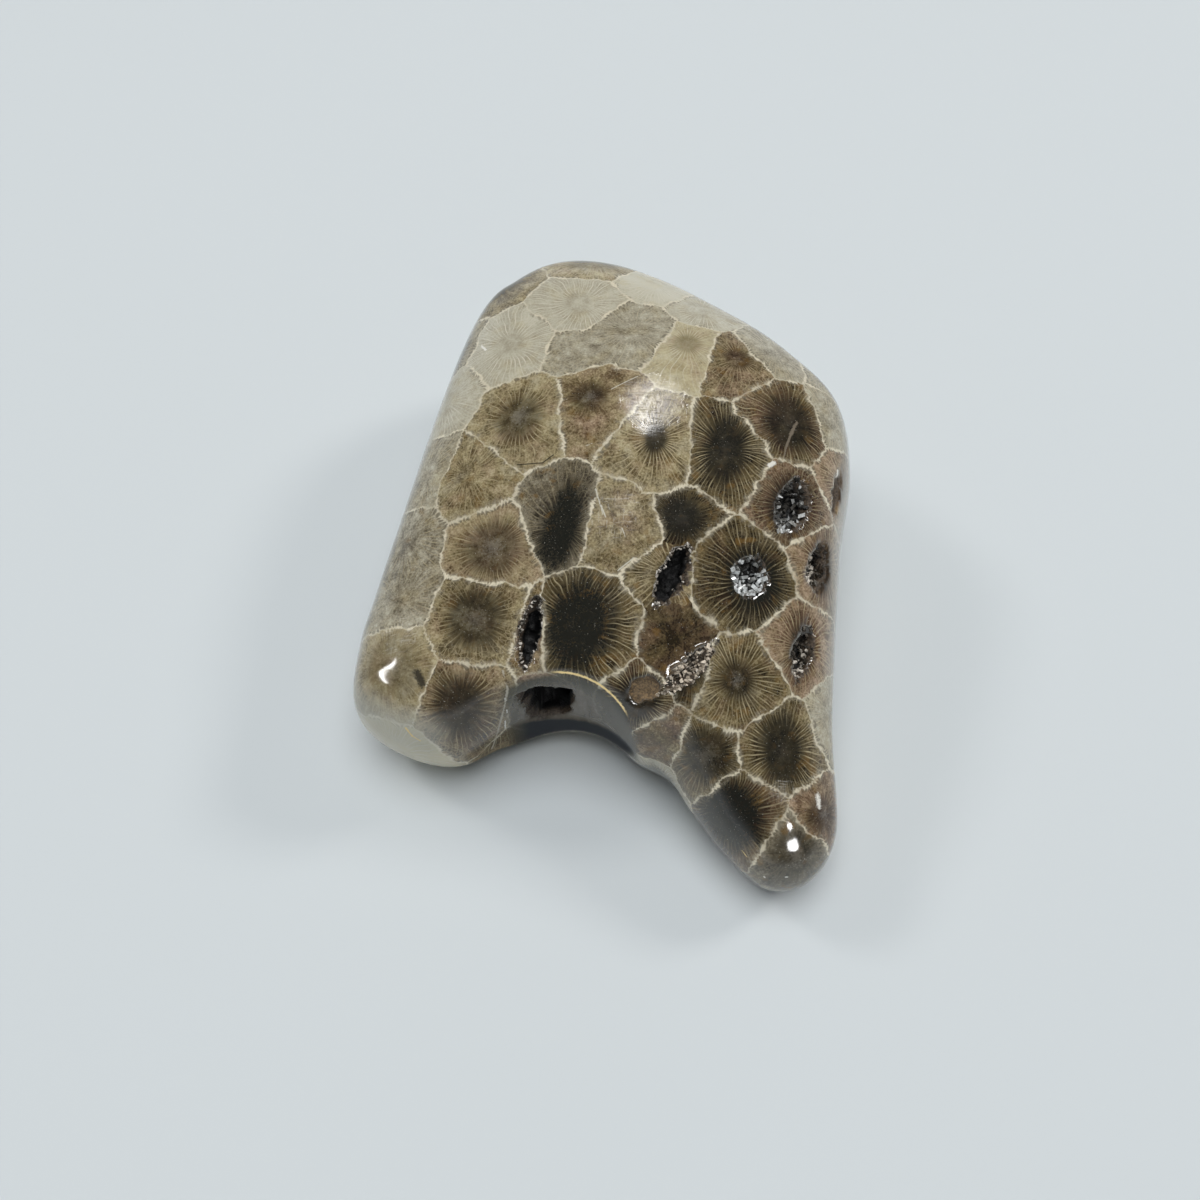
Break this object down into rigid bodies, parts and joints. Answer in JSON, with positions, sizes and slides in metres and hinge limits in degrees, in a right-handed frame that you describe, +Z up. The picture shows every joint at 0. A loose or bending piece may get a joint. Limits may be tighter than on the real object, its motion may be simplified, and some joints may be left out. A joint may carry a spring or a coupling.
{
  "type": "polished fossil coral pebble",
  "caption": "Palm-sized polished pebble of fossil colonial coral: domed upper face with polygonal cells, crystal-lined hollows, a round lobe, a tapering leg and a scooped notch between them.",
  "frame": {"origin": "on the flat foot, under the middle of the pebble", "axes": "+Z up out of the domed upper face, +Y along the long way towards the broad rounded back, so that the lobe and the leg point towards -Y"},
  "size_m": [0.0488, 0.0659, 0.0248],
  "materials": {
    "polished_coral": "polished fossil limestone, olive brown, with pale cell walls",
    "calcite_crystal": "small glittering calcite crystals, grey white"
  },
  "bodies": {
    "root": {"coral_pebble": "polished_coral", "crown_flank_crystals": "calcite_crystal", "right_flank_crystals": "calcite_crystal", "leg_root_crystals": "calcite_crystal", "centre_right_crystals": "calcite_crystal", "middle_crystals": "calcite_crystal", "above_notch_crystals": "calcite_crystal", "beside_notch_crystals": "calcite_crystal"}
  },
  "joints": []
}
